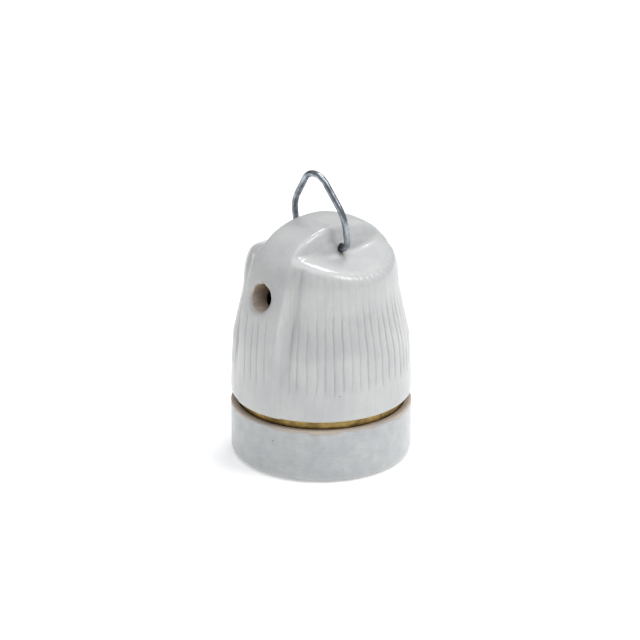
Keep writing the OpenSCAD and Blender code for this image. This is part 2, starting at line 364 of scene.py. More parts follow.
# metals: worked lines lie along one axis and the surface has clouded unevenly
def workedMetal(name, look):
    material, tree, shader = newMaterial(name)
    coords = addNode(tree, "ShaderNodeTexCoord").outputs["Object"]
    stretched = addNode(tree, "ShaderNodeMapping", values={"Scale": look["lineStretch"]},
                        links={"Vector": coords}).outputs[0]
    stainValues = {"Scale": 1 / (look["cloudMm"] * mm), "Detail": 5, "Roughness": 0.65}
    darkening = addNode(tree, "ShaderNodeTexNoise", values=stainValues, links={"Vector": coords}).outputs["Fac"]
    lines = addNode(tree, "ShaderNodeTexNoise", values={"Scale": 1 / (look["lineMm"] * mm), "Detail": 2},
                    links={"Vector": stretched}).outputs["Fac"]
    both = addNode(tree, "ShaderNodeMath", {"operation": "MULTIPLY_ADD"}, {1: 0.25}, {0: lines, 2: darkening}).outputs[0]
    tone = setStops(addNode(tree, "ShaderNodeValToRGB", links={0: both}),
                    [(0.45, linearColour(look["bright"])), (0.62, linearColour(look["dull"])),
                     (0.82, linearColour(look["dark"]))])
    tree.links.new(tone, shader.inputs["Base Color"])
    low, high = look["roughness"]
    roughValues = {"From Min": 0.4, "From Max": 0.8, "To Min": low, "To Max": high}
    rough = addNode(tree, "ShaderNodeMapRange", values=roughValues, links={"Value": both})
    tree.links.new(rough.outputs[0], shader.inputs["Roughness"])
    bump = addNode(tree, "ShaderNodeBump", values={"Strength": look["lineDepth"], "Distance": 0.03 * mm},
                   links={"Height": lines})
    tree.links.new(bump.outputs[0], shader.inputs["Normal"])
    shader.inputs["Metallic"].default_value = 1.0
    return material


metalLooks = {
    # rolled brass sheet, dulled by handling to an olive brown
    "rolledBrassSheet": {"bright": "b89c62", "dull": "97804e", "dark": "6e5935", "roughness": (0.34, 0.5),
                         "cloudMm": 6, "lineMm": 0.3, "lineStretch": (0.12, 0.12, 1), "lineDepth": 0.25},
    # deep-drawn shell brass, brighter, lines round the draw
    "drawnShellBrass": {"bright": "cdb074", "dull": "b3935a", "dark": "8a6c3c", "roughness": (0.2, 0.36),
                        "cloudMm": 5, "lineMm": 0.3, "lineStretch": (0.15, 0.15, 1), "lineDepth": 0.2},
    # cast and stamped terminal brass
    "stampedTerminalBrass": {"bright": "c9ad6f", "dull": "ab8d55", "dark": "836739", "roughness": (0.26, 0.42),
                             "cloudMm": 4, "lineMm": 0.35, "lineStretch": (1, 1, 1), "lineDepth": 0.3},
    # phosphor bronze spring strip, redder, rolled lines along the leaf
    "phosphorBronzeStrip": {"bright": "c6946a", "dull": "a5744c", "dark": "7b5334", "roughness": (0.24, 0.4),
                            "cloudMm": 3, "lineMm": 0.25, "lineStretch": (0.12, 1, 1), "lineDepth": 0.25},
    # hot-dip galvanised drawn wire: grey-blue, softly streaked along the draw
    "galvanisedWire": {"bright": "b4bac0", "dull": "8f969d", "dark": "6b7279", "roughness": (0.26, 0.42),
                       "cloudMm": 2.4, "lineMm": 0.3, "lineStretch": (1, 1, 0.15), "lineDepth": 0.3},
    # zinc-plated steel of the terminal screws
    "zincPlatedSteel": {"bright": "c3c6c8", "dull": "a3a6a8", "dark": "7d7f7f", "roughness": (0.24, 0.4),
                        "cloudMm": 2.5, "lineMm": 0.25, "lineStretch": (1, 1, 1), "lineDepth": 0.25},
}

hoodGlaze = glazedPorcelain("glazedPorcelainHood", glazeLook, 0.62, 0.14, 0.16)
# the ring's glaze is the hood's glaze made darker as painted shade on the lower part of the lamp, with finer clouding,
# specks and horizontal streaks of its own
shadedRingLook = dict(glazeLook, body="bfc2c3", cloud="b2b5b7", cloudMm=5.0, speckMm=5.0, speckSize=0.08,
                drawnMm=0.5, drawnStretch=(0.1, 0.1, 1.0), drawnDepth=0.24)
shadedRingGlaze = glazedPorcelain("glazedPorcelainRingShaded", shadedRingLook, 0.5, 0.2, 0.3)
biscuit = biscuitPorcelain("unglazedBiscuit")
metals = {name: workedMetal(name, look) for name, look in metalLooks.items()}

for nodeName, metalName in {
    "hood_thread": "rolledBrassSheet",
    "contact_pad": "phosphorBronzeStrip",
    "contact_tongue": "phosphorBronzeStrip",
}.items():
    nodes[nodeName].data.materials.clear()
    nodes[nodeName].data.materials.append(metals[metalName])
print("materials ready")


# The hood is one glazed body that flows between a turned cup, a spine and two bowls. Its skin is
# pushed out along rays until it meets that blended form, so the flutes can follow it as real relief.
hoodSet = {
    "outerR": 31.0,
    "lowZ": lowHigh("hood")[0],
    "footRound": 1.6,
    "spineHalf": 9.6,
    "ridgeRound": (0.7, 2.8),
    "ridgeHollow": 1.0,
    "valleyDepth": 1.1,
    "valleyWide": 1.5,
    "pivotZ": pivotZ,
    "bowlR": 60.0,
    "bowlTilt": 11.0,
    "bowlTurn": -2.0,
    "bowlDrop": 1.9,
    "lipRound": 3.4,
    "cableZ": cableZ,
    "cableR": 4.5,
    "cableRound": 0.9,
    "pinHoleR": 1.65,
    "domeZ": 70.0,
    "flutes": 62,
    "fluteDepth": 0.2,
    "fluteWidth": 0.075,
    "swell": 0.05,
    "seed": 7,
}


def hoodOutlines():
    h = hoodSet
    r = h["outerR"]
    foot = h["footRound"]
    flank = arcPoints((r - 0.1 - foot, h["lowZ"] + foot), foot, -88, 0, 10) + [(r - 0.02, h["lowZ"] + 4)]
    body = flank + [(r - 0.15, 28.5), (r - 0.45, 33), (r - 0.7, 38)]
    body += curvePoints((30, 43), (29.1, 48.5), (26.8, 56), (26.25, 62), 16)
    body += curvePoints((26.2, 63.5), (25.7, 71.5), (23.4, 75.2), (17, 77.2), 26) + [(10, 78.8), (0, 79.2)]
    spine = flank + curvePoints((r - 0.04, 31), (r + 0.6, 47), (29.8, 55.5), (27.5, 63), 26)
    spine += curvePoints((27.3, 64), (24.7, 73), (20.6, 80.5), (9, 83), 30) + [(4, 83.75), (0, 83.95)]
    return np.array(body), np.array(spine)


def outlineDistance(outline, r, z):
    best = np.full(r.shape, 1e9)
    for (ar, az), (br, bz) in zip(outline[:-1], outline[1:]):
        dr, dz = br - ar, bz - az
        t = np.clip(((r - ar) * dr + (z - az) * dz) / (dr * dr + dz * dz), 0, 1)
        best = np.minimum(best, (r - ar - t * dr) ** 2 + (z - az - t * dz) ** 2)
    order = np.argsort(outline[:, 1])
    inside = (r < np.interp(z, outline[order, 1], outline[order, 0])) & (z < outline[:, 1].max())
    return np.where(inside, -1, 1) * np.sqrt(best)


def bowlDistance(p):
    h = hoodSet
    x, side, z = p[..., 0], np.abs(p[..., 1]), p[..., 2]
    turn, tilt = math.radians(h["bowlTurn"]), math.radians(h["bowlTilt"])
    along = x * math.cos(turn) + (z - h["pivotZ"]) * math.sin(turn)
    above = (z - h["pivotZ"]) * math.cos(turn) - x * math.sin(turn)
    above = (side - h["spineHalf"] - 0.4) * math.sin(tilt) + (above + h["bowlDrop"]) * math.cos(tilt)
    bowl = np.sqrt(along ** 2 + (above - h["bowlR"]) ** 2) - h["bowlR"]
    return softMax(bowl, h["spineHalf"] + 0.2 - side, 1.8)


def hoodField(p, body, spine):
    h = hoodSet
    r, side, z = np.hypot(p[..., 0], p[..., 1]), np.abs(p[..., 1]), p[..., 2]
    ridge = np.interp(z, (66, 79), h["ridgeRound"])
    shell = softMin(outlineDistance(body, r, z),
                    softMax(outlineDistance(spine, r, z), side - h["spineHalf"], ridge), h["ridgeHollow"])
    valley = np.exp(-((side - h["spineHalf"] - 2.2) / h["valleyWide"]) ** 2)
    valley = valley * stepUp(34, 44, z) * (1 - stepUp(70, 74, z))
    shell = shell + h["valleyDepth"] * valley * stepUp(12, 18, np.abs(p[..., 0]))
    return softMax(shell, -bowlDistance(p), h["lipRound"])


def buildHood():
    h = hoodSet
    rng = np.random.default_rng(h["seed"])
    body, spine = hoodOutlines()
    count = h["flutes"]
    across = np.array([-0.44, -0.27, -0.14, -0.06, 0.0, 0.06, 0.14, 0.29])
    columns = count * len(across)
    lowRows = [h["lowZ"] + h["footRound"] * (1 - math.cos(math.radians(a))) for a in (4, 18, 32, 46, 60, 75, 90)]
    zRows = np.concatenate([lowRows, np.linspace(h["lowZ"] + h["footRound"] + 0.7, h["domeZ"], 66)])
    domeAngles = np.radians(np.linspace(0, 88.6, 60)[1:])
    fluteIndex = np.repeat(np.arange(count), len(across))
    offset = np.tile(across, count)
    waves = rng.uniform(0, math.tau, (count, 2))
    waveSize = rng.uniform(0.01, 0.035, (count, 2))
    strength = rng.uniform(0.55, 1.0, count)
    topEnd = rng.uniform(-2.5, 2.5, count)
    lowEnd = rng.uniform(-1.2, 1.2, count)
    jitter = rng.uniform(-0.13, 0.13, count)

    def fluteAngle(z):
        drift = waveSize[:, 0] * np.sin(waves[:, 0] + z * 0.2)
        drift = drift + waveSize[:, 1] * np.sin(waves[:, 1] + z * 0.55) + jitter
        return (fluteIndex + 0.5 + offset + drift[fluteIndex]) / count * math.tau

    theta = np.array([fluteAngle(z) for z in zRows] + [fluteAngle(h["domeZ"])] * len(domeAngles))
    startZ = np.repeat(np.concatenate([zRows, np.full(len(domeAngles), h["domeZ"])])[:, None], columns, 1)
    polar = np.repeat(np.concatenate([np.zeros(len(zRows)), domeAngles])[:, None], columns, 1)
    way = np.stack([np.cos(theta) * np.cos(polar), np.sin(theta) * np.cos(polar), np.sin(polar)], -1)
    origin = np.stack([np.zeros_like(startZ), np.zeros_like(startZ), startZ], -1)
    near, far = np.full(theta.shape, 2.0), np.full(theta.shape, 36.0)
    for _ in range(17):
        middle = (near + far) / 2
        inside = hoodField(origin + way * middle[..., None], body, spine) < 0
        near, far = np.where(inside, middle, near), np.where(inside, far, middle)
    skin = origin + way * ((near + far) / 2)[..., None]

    # flutes are scratched in the soft clay: crisp in the middle, dying away up the shoulder
    x, y, z = skin[..., 0], skin[..., 1], skin[..., 2]
    fromAxis = np.hypot(x, y)
    k = fluteIndex[None, :]
    groove = np.exp(-(offset / h["fluteWidth"]) ** 2)[None, :]
    start = stepUp(31.4, 34.4, z + lowEnd[k])
    shoulder = stepUp(54, 62, z + topEnd[k])
    toBowl = bowlDistance(skin)
    end = stepUp(0.4, 2.2, toBowl) * (1 - stepUp(71, 74, z))
    plainStrip = 1 - np.exp(-((np.abs(y) - 8.2) / 2.9) ** 6) * stepUp(14, 18, np.abs(x))
    plainCable = np.where(x < 0, stepUp(6.5, 10, np.hypot(y, z - h["cableZ"])), 1.0)
    spineTop = 1 - stepUp(9.0, 7.5, np.abs(y)) * stepUp(59, 63, z)
    amount = start * (1 - 0.7 * shoulder) * end * plainStrip * plainCable * spineTop * strength[k]
    beads = np.exp(-((toBowl - 1.2) / 0.9) ** 2) * stepUp(-12, -4, x)
    beads = beads * (np.abs(y) > h["spineHalf"] + 2) * (fromAxis > 19)
    swell = h["swell"] * np.cos(offset * math.tau)[None, :] * start * (1 - shoulder) * plainStrip
    pull = np.where(polar > 0.35, 0.0, h["fluteDepth"] * groove * amount + 0.2 * groove * beads + swell)
    skin[..., 0] -= np.cos(theta) * pull
    skin[..., 1] -= np.sin(theta) * pull

    # the edge of the cable bore is drawn in before the bore is cut
    fromBore = np.hypot(y, z - h["cableZ"])
    rim = np.clip((h["cableR"] + h["cableRound"] - fromBore) / h["cableRound"], 0, 1)
    skin[..., 0] += np.where(x < 0, h["cableRound"] * (1 - np.sqrt(1 - rim ** 2)), 0)

    # inside, from the wiring space down to the seat and the lower rim
    cavity = curvePoints((0.0, 70), (19.5, 70), (24.5, 57), (25.6, 47), 14)[1:]
    cavity += [(25.6, 42), (25.6, 37.8), (25.9, 37.4), (28.6, 37.4), (28.85, 37.1), (28.85, 30)]
    cavity += [(28.85, h["lowZ"] + 1.1), (29.2, h["lowZ"] + 0.25)]
    inner = np.array([[(r * math.cos(t), r * math.sin(t), level) for t in theta[0]] for r, level in cavity])
    rows = np.concatenate([skin, inner])
    points = np.concatenate([rows.reshape(-1, 3), [[0, 0, skin[-1, :, 2].mean() + 0.01], [0, 0, 70]]])
    crown, roof, outerRows, allRows = len(points) - 2, len(points) - 1, len(skin), len(rows)
    faces = []
    for a, b in [(i, i + 1) for i in range(allRows - 1) if i != outerRows - 1] + [(allRows - 1, 0)]:
        faces += [(a * columns + c, a * columns + (c + 1) % columns, b * columns + (c + 1) % columns, b * columns + c)
                  for c in range(columns)]
    for c in range(columns):
        after = (c + 1) % columns
        faces.append(((outerRows - 1) * columns + c, (outerRows - 1) * columns + after, crown))
        faces.append((roof, outerRows * columns + after, outerRows * columns + c))
    piece = addMesh("hoodShell", points * mm, [], faces)
    # the middles of the flute grooves are marked for painted shade
    lines = np.zeros(len(points))
    lines[:skin.shape[0] * columns] = (groove * np.clip(amount, 0, 1) * np.where(polar > 0.35, 0, 1)).reshape(-1)
    writeAttribute(piece, "paintedGrooveShade", lines)
    bare = np.zeros(len(points))
    bare[skin.shape[0] * columns:-2] = 0.5
    bare[-1] = 0.5
    writeAttribute(piece, "bareClay", bare)

    pinHoles = [rodCutter(h["pinHoleR"], 9, (0, side * 8.6, h["pivotZ"]), (math.pi / 2, 0, 0)) for side in (-1, 1)]
    cutAway(piece, [rodCutter(h["cableR"], 20, (-23, 0, h["cableZ"]), (0, math.pi / 2, 0), 72)] + pinHoles)

    # bare clay on the lower rim and inside, and brown painted shade in the bores and along the crease at the foot of
    # the ridge
    p = vertexArray(piece)
    fromBore = np.where(p[:, 0] < -8, np.hypot(p[:, 1], p[:, 2] - h["cableZ"]), 99)
    fromPin = np.hypot(p[:, 0], p[:, 2] - h["pivotZ"]) + np.where(np.abs(np.abs(p[:, 1]) - 8.5) < 3, 0, 99)
    bare = np.empty(len(p), dtype=np.float32)
    piece.data.attributes["bareClay"].data.foreach_get("value", bare)
    writeAttribute(piece, "bareClay", np.maximum(bare, 0.85 * (1 - stepUp(0.25, 0.8, p[:, 2] - h["lowZ"]))))
    darkening = np.where(p[:, 0] > -26.6, 0.95, 0.5) * (1 - stepUp(4.5, 5.6, fromBore))
    darkening = darkening + 0.6 * (1 - stepUp(1.4, 2.4, fromPin))
    # a faint painted shade line in the crease beside the ridge
    edge = np.exp(-((np.abs(p[:, 1]) - 10.2) / 0.7) ** 2) * (np.abs(p[:, 0]) > 12)
    edge = edge * stepUp(62, 66, p[:, 2]) * (1 - stepUp(78, 81, p[:, 2]))
    writeAttribute(piece, "paintedShadeAndStain", np.clip(darkening + 0.16 * edge, 0, 1))
    return piece


hood = buildHood()
smoothShade(hood, 50)
finishPiece(hood, "hood", hoodGlaze, "porcelain_glazed", "hood")


# The skirt ring is turned: a plain outline spun about the lamp axis, with its throwing lines left in.
ringSet = {
    "outerR": 31.0,
    "height": lowHigh("skirt_ring")[1],
    "mouthR": 22.0,
    "boreR": 28.65,
    "ledgeZ": 6.0,
    "flatR": 26.0,
    "lineDepth": 0.035,
    "seed": 3,
}


def buildRing():
    s = ringSet
    rng = np.random.default_rng(s["seed"])
    outline = arcPoints((s["mouthR"] + 1.5, 1.5), 1.5, 180, 270, 8) + [(s["flatR"], 0.0)]
    outline += arcPoints((s["outerR"] - 2.8, 2.8), 2.8, -90, 0, 14)
    outline += [(s["outerR"] - rng.uniform(0, s["lineDepth"]), level)
                for level in np.linspace(3.3, s["height"] - 1.1, 34)]
    outline += arcPoints((s["outerR"] - 0.7, s["height"] - 0.7), 0.7, 0, 90, 7)
    outline += [(s["boreR"] + 0.3, s["height"])]
    outline += arcPoints((s["boreR"] + 0.3, s["height"] - 0.3), 0.3, 90, 180, 3)[1:]
    outline += [(s["boreR"], 12), (s["boreR"], s["ledgeZ"] + 0.4)]
    outline += arcPoints((s["boreR"] - 0.4, s["ledgeZ"] + 0.4), 0.4, 0, -90, 3)[1:]
    outline += arcPoints((s["mouthR"] + 1.2, s["ledgeZ"] - 1.2), 1.2, 90, 180, 6)
    piece = spinOutline("skirtRing", outline, 288)
    p = vertexArray(piece)
    angle = np.arctan2(p[:, 1], p[:, 0])
    wander = 0.12 * np.sin(5 * angle + 1) + 0.09 * np.sin(13 * angle) + 0.06 * np.sin(29 * angle + 2)
    r = np.hypot(p[:, 0], p[:, 1])
    top = stepUp(s["height"] - 0.6, s["height"] - 0.1, p[:, 2] + 1.6 * wander)
    within = np.where((r < s["outerR"] - 1) & (p[:, 2] > 3), 0.5, 0.0)
    writeAttribute(piece, "bareClay", np.maximum(0.7 * top, within))
    # the top edge is darkened brown, partly its own unglazed stain and partly painted shade in the seam under the
    # hood; the lowest 1.4 mm are darkened as painted shade near the floor
    edge = 0.62 * stepUp(s["height"] - 1.3, s["height"] - 0.2, p[:, 2] + 2.8 * wander)
    writeAttribute(piece, "paintedShadeAndStain", edge + 0.12 * (1 - stepUp(0, 1.4, p[:, 2])))
    writeAttribute(piece, "paintedGrooveShade", np.zeros(len(p)))
    return piece


ring = buildRing()
smoothShade(ring, 50)
finishPiece(ring, "skirt", shadedRingGlaze, "porcelain_glazed", "skirt_ring")


# Rolled and drawn sheet: one wall is spun, then its thread is pressed in as a true helix.
def pressThread(piece, pitch, depth, lowZ, highZ, fade, radii, sharpness=1.0):
    p = vertexArray(piece)
    r = np.hypot(p[:, 0], p[:, 1])
    phase = (p[:, 2] - lowZ) / pitch - np.arctan2(p[:, 1], p[:, 0]) / math.tau
    wave = 0.5 + 0.5 * np.cos(math.tau * phase)
    inReach = stepUp(lowZ, lowZ + fade, p[:, 2]) * (1 - stepUp(highZ - fade, highZ, p[:, 2]))
    push = np.where((r > radii[0]) & (r < radii[1]), depth * wave ** sharpness * inReach, 0)
    p[:, 0] -= p[:, 0] / np.maximum(r, 1e-6) * push
    p[:, 1] -= p[:, 1] / np.maximum(r, 1e-6) * push
    moveVertices(piece, p)


def levels(low, high, step):
    return np.linspace(low, high, max(2, int(round((high - low) / step)) + 1))


collarSet = {
    "bandR": 28.5,
    "threadR": 27.6,
    "sheet": 0.35,
    "footZ": lowHigh("collar")[0],
    "bandTop": lowHigh("hood")[0] + 0.1,
    "topZ": lowHigh("collar")[1],
    "lipR": 25.2,
    "pitch": 2.5,
    "threadDepth": 0.45,
    "seamAt": 272.0,
    "seamGap": 0.22,
}


def buildCollar():
    s = collarSet
    t = s["sheet"]
    outer = [(s["lipR"], s["footZ"])] + arcPoints((s["bandR"] - 0.7, s["footZ"] + 0.7), 0.7, -90, 0, 5)
    outer += [(s["bandR"], level) for level in levels(s["footZ"] + 1.2, s["bandTop"] - 0.5, 2.0)]
    outer += [(s["bandR"] - 0.12, s["bandTop"] - 0.1), (s["threadR"] + 0.2, s["bandTop"] + 0.5)]
    outer += [(s["threadR"], s["bandTop"] + 0.8)]
    outer += [(s["threadR"], level) for level in levels(s["bandTop"] + 1.1, s["topZ"], 0.32)]
    inner = [(s["threadR"] - t, level) for level in levels(s["bandTop"] + 1.1, s["topZ"], 0.32)][::-1]
    inner += [(s["threadR"] - t, s["bandTop"] + 0.6), (s["bandR"] - t - 0.2, s["bandTop"] - 0.3)]
    inner += [(s["bandR"] - t, s["bandTop"] - 0.7)]
    inner += [(s["bandR"] - t, s["footZ"] + 0.8), (s["bandR"] - 0.8, s["footZ"] + t), (s["lipR"], s["footZ"] + t)]
    piece = spinOutline("brassCollar", outer + inner, 192)
    pressThread(piece, s["pitch"], s["threadDepth"], s["bandTop"] + 1.2, s["topZ"] - 0.2, 1.0, (27.0, 27.7))
    angle = math.radians(s["seamAt"])
    slit = blockCutter((3, s["seamGap"], 18), (27.9 * math.cos(angle), 27.9 * math.sin(angle), 16.5), angle)
    cutAway(piece, [slit])
    return piece


collar = buildCollar()
smoothShade(collar, 40)
finishPiece(collar, "skirt", metals["rolledBrassSheet"], "brass_sheet", "collar")


shellSet = {
    "crestR": 12.25,
    "rootR": 13.35,
    "sheet": 0.35,
    "lowZ": 12.4,
    "topZ": 35.95,
    "holeR": 8.0,
    "pitch": 3.629,
    "threadLow": 12.9,
    "threadHigh": 33.0,
    "rivetR": 10.6,
    "rivetHoleR": 1.55,
}


def buildShell():
    s = shellSet
    t = s["sheet"]
    inner = [(s["rootR"], level) for level in levels(s["lowZ"] + 0.2, s["topZ"] - t - 0.7, 0.3)]
    inner += arcPoints((s["rootR"] - 0.7, s["topZ"] - t - 0.7), 0.7, 0, 90, 5)[1:] + [(s["holeR"], s["topZ"] - t)]
    outer = [(s["holeR"], s["topZ"])] + arcPoints((s["rootR"] - 0.7, s["topZ"] - 0.7 - t), 0.7 + t, 90, 0, 6)
    outer += [(s["rootR"] + t, level) for level in levels(s["lowZ"] + 0.2, s["topZ"] - t - 0.9, 0.3)][::-1]
    lip = [(s["rootR"] + t * 0.6, s["lowZ"]), (s["rootR"] + t * 0.25, s["lowZ"])]
    piece = spinOutline("screwShell", inner + outer + lip, 160)
    pressThread(piece, s["pitch"], s["rootR"] - s["crestR"], s["threadLow"], s["threadHigh"], 1.4, (13.0, 13.9))
    cutAway(piece, [rodCutter(s["rivetHoleR"], 3, (0, side * s["rivetR"], s["topZ"])) for side in (-1, 1)])
    return piece


shell = buildShell()
smoothShade(shell, 40)
finishPiece(shell, "insert", metals["drawnShellBrass"], "brass_shell", "screw_shell")


# The insert is pressed biscuit: a spun body with eased edges, drilled for rivets, screws and wires.
insertSet = {
    "bossR": 7.4,
    "bossZ": 34.2,
    "floorZ": 36.0,
    "sleeveIn": 13.95,
    "sleeveOut": 16.6,
    "sleeveZ": 12.0,
    "flangeZ": 33.4,
    "flangeR": 27.5,
    "seatZ": 37.3,
    "deckR": 24.4,
    "deckZ": 44.0,
    "contactX": 4.75,
    "rivetR": 10.6,
    "reach": 8.3,
    "rivetHoleR": 1.6,
    "wellR": 2.1,
    "wellDepth": 3.6,
    "notchR": 3.0,
    "notchAt": (150, 210),
    "notchZ": 39.0,
}


def buildInsert():
    s = insertSet
    outline = [(0.0, s["bossZ"])] + arcPoints((s["bossR"] - 0.4, s["bossZ"] + 0.4), 0.4, -90, 0, 4)
    outline += arcPoints((s["bossR"] + 0.4, s["floorZ"] - 0.4), 0.4, 180, 90, 4)
    outline += [(s["sleeveIn"] - 0.01, s["floorZ"]), (s["sleeveIn"], s["floorZ"] - 0.3)]
    outline += [(s["sleeveIn"], 24), (s["sleeveIn"], s["sleeveZ"] + 0.5)]
    outline += arcPoints((s["sleeveIn"] + 0.5, s["sleeveZ"] + 0.5), 0.5, 180, 270, 4)[1:]
    outline += arcPoints((s["sleeveOut"] - 1, s["sleeveZ"] + 1), 1.0, -90, 0, 6)
    outline += [(s["sleeveOut"], 22), (s["sleeveOut"], s["flangeZ"] - 0.8)]
    outline += arcPoints((s["sleeveOut"] + 0.8, s["flangeZ"] - 0.8), 0.8, 180, 90, 5)[1:]
    outline += arcPoints((s["flangeR"] - 0.5, s["flangeZ"] + 0.5), 0.5, -90, 0, 4)
    outline += arcPoints((s["flangeR"] - 0.5, s["seatZ"] - 0.5), 0.5, 0, 90, 4)
    outline += [(s["deckR"] + 0.01, s["seatZ"]), (s["deckR"], s["seatZ"] + 0.3)]
    outline += arcPoints((s["deckR"] - 0.8, s["deckZ"] - 0.8), 0.8, 0, 90, 5) + [(0.0, s["deckZ"])]
    piece = spinOutline("insertBiscuit", outline, 160)
    rivetSpots = ((s["contactX"], 0), (0, -s["rivetR"]), (0, s["rivetR"]))
    cutters = [rodCutter(s["rivetHoleR"], 16, (x, y, 40)) for x, y in rivetSpots]
    cutters += [rodCutter(s["wellR"], 2 * s["wellDepth"], (x, y, s["deckZ"]))
                for x, y in ((s["contactX"] + s["reach"], 0), (0, -s["rivetR"] - s["reach"]))]
    for angle in (math.radians(a) for a in s["notchAt"]):
        notchSpot = (s["deckR"] * math.cos(angle), s["deckR"] * math.sin(angle), s["notchZ"] + 6)
        cutters.append(rodCutter(s["notchR"], 12, notchSpot))
    cutAway(piece, cutters)
    return piece


insert = buildInsert()
smoothShade(insert, 40)
finishPiece(insert, "insert", biscuit, "porcelain_plain", "insert")


# Tubular rivets: the far head is rolled over to a low dome.
rivetSet = {"shankR": 1.5, "boreR": 0.8, "headR": 2.3, "headH": 0.6}


def rivetOutline(low, high):
    s = rivetSet
    lowHead = [(s["boreR"] + 0.15, low - s["headH"] + 0.05), (1.35, low - s["headH"]), (1.8, low - s["headH"] * 0.8),
               (2.15, low - s["headH"] * 0.45), (s["headR"], low - 0.1), (s["headR"] - 0.05, low), (s["shankR"], low)]
    highHead = [(r, low + high - level) for r, level in lowHead][::-1]
    return [(s["boreR"], low - s["headH"] * 0.6)] + lowHead + highHead + [(s["boreR"], high + s["headH"] * 0.6)]


contactRivet = spinOutline("contactRivet", rivetOutline(33.7, 46.1), 48, (insertSet["contactX"], 0))
smoothShade(contactRivet, 40)
finishPiece(contactRivet, "insert", metals["stampedTerminalBrass"], "brass_turned", "contact_rivet")

nearRivet = spinOutline("shellRivets", rivetOutline(35.55, 46.1), 48, (0, -insertSet["rivetR"]))
farRivet = spinOutline("farRivet", rivetOutline(35.55, 44.05), 48, (0, insertSet["rivetR"]))
clearSelection()
farRivet.select_set(True)
nearRivet.select_set(True)
bpy.context.view_layer.objects.active = nearRivet
bpy.ops.object.join()
smoothShade(nearRivet, 40)
finishPiece(nearRivet, "insert", metals["stampedTerminalBrass"], "brass_turned", "shell_rivets")


# Terminals, clamp plates and screws are made once along +X, and the second set is turned into place.
terminalSet = {
    "plateLong": 14.4,
    "plateWide": 7.2,
    "plateThick": 2.0,
    "deckZ": 44.05,
    "backX": -2.5,
    "reach": 8.3,
    "holeR": 1.6,
    "saddleWide": 6.8,
    "saddleThick": 0.9,
    "saddleZ": 46.15,
    "saddleHoleR": 1.9,
    "shankR": 1.55,
    "lowZ": 41.4,
    "headZ": 47.15,
    "headR": 2.9,
    "headH": 2.1,
    "slotWide": 0.8,
    "slotDepth": 1.0,
    "threadPitch": 0.6,
    "threadDepth": 0.22,
}


def bevelledPlate(name, size, centre, bevel):
    clearSelection()
    bpy.ops.mesh.primitive_cube_add(size=1, location=[v * mm for v in centre])
    piece = bpy.context.object
    piece.name = name
    piece.scale = [v * mm for v in size]
    bakePlace(piece)
    edge = piece.modifiers.new("easedEdges", "BEVEL")
    edge.width = bevel * mm
    edge.segments = 3
    applyModifiers(piece)
    return piece


def buildTerminal(name):
    s = terminalSet
    centre = (s["backX"] + s["plateLong"] / 2, 0, s["deckZ"] + s["plateThick"] / 2)
    piece = bevelledPlate(name, (s["plateLong"], s["plateWide"], s["plateThick"]), centre, 0.3)
    cutAway(piece, [rodCutter(1.55, 6, (0, 0, 45)), rodCutter(s["holeR"], 6, (s["reach"], 0, 45))])
    return piece


def buildSaddle(name):
    s = terminalSet
    centre = (s["reach"], 0, s["saddleZ"] + s["saddleThick"] / 2)
    piece = bevelledPlate(name, (s["saddleWide"], s["saddleWide"], s["saddleThick"]), centre, 0.25)
    grips = [blockCutter((8, 0.35, 0.3), (s["reach"], y, s["saddleZ"]), 0) for y in (-2.7, 2.7)]
    cutAway(piece, [rodCutter(s["saddleHoleR"], 4, (s["reach"], 0, s["saddleZ"]))] + grips)
    return piece


def buildScrew(name):
    s = terminalSet
    r, head, top = s["shankR"], s["headZ"], s["headZ"] + s["headH"]
    outline = [(0.0, s["lowZ"]), (r - 0.45, s["lowZ"]), (r, s["lowZ"] + 0.45)]
    outline += [(r, level) for level in levels(s["lowZ"] + 0.5, head - 0.3, 0.1)]
    outline += [(r, head), (s["headR"] - 0.2, head), (s["headR"], head + 0.2), (s["headR"], head + 1.1)]
    outline += [(2.75, head + 1.5), (2.3, head + 1.82), (1.5, head + 2.02), (0.0, top)]
    piece = spinOutline(name, outline, 48, (0, 0))
    pressThread(piece, s["threadPitch"], s["threadDepth"], s["lowZ"] + 0.4, head - 0.5, 0.4, (r - 0.05, r + 0.05))
    makeActive(piece)
    piece.location = (s["reach"] * mm, 0, 0)
    bakePlace(piece)
    cutAway(piece, [blockCutter((10, s["slotWide"], 2), (s["reach"], 0, top - s["slotDepth"] + 1), 0)])
    return piece


def setInPlace(piece, spot):
    x, y, degrees = spot
    piece.rotation_euler[2] = math.radians(degrees)
    piece.location = (x * mm, y * mm, 0)
    bakePlace(piece)


terminalSpots = {"line": (insertSet["contactX"], 0, 0), "shell": (0, -insertSet["rivetR"], -90)}
for side, spot in terminalSpots.items():
    for build, label, body, metalName, slotName in (
        (buildTerminal, "terminal", "insert", "stampedTerminalBrass", "brass_turned"),
        (buildSaddle, "saddle", side + "_saddle", "zincPlatedSteel", "steel_plated"),
        (buildScrew, "screw", side + "_screw", "zincPlatedSteel", "steel_plated"),
    ):
        piece = build(side + label.capitalize())
        setInPlace(piece, spot)
        smoothShade(piece, 35)
        finishPiece(piece, body, metals[metalName], slotName, side + "_" + label)


# The bail is one length of wire: two pins, two legs that lean in above the knee, and a rounded crown.
bailSet = {
    "wireR": 1.1,
    "half": 12.4,
    "rise": 24.8,
    "kneeAt": 11.8,
    "leanIn": 35.3,
    "kneeBend": 14.0,
    "crownBend": 6.3,
    "pinLong": 6.4,
    "pinBend": 3.4,
    "shift": -0.7,
    "lean": 8.0,
    "pivotZ": pivotZ,
    "sides": 20,
}


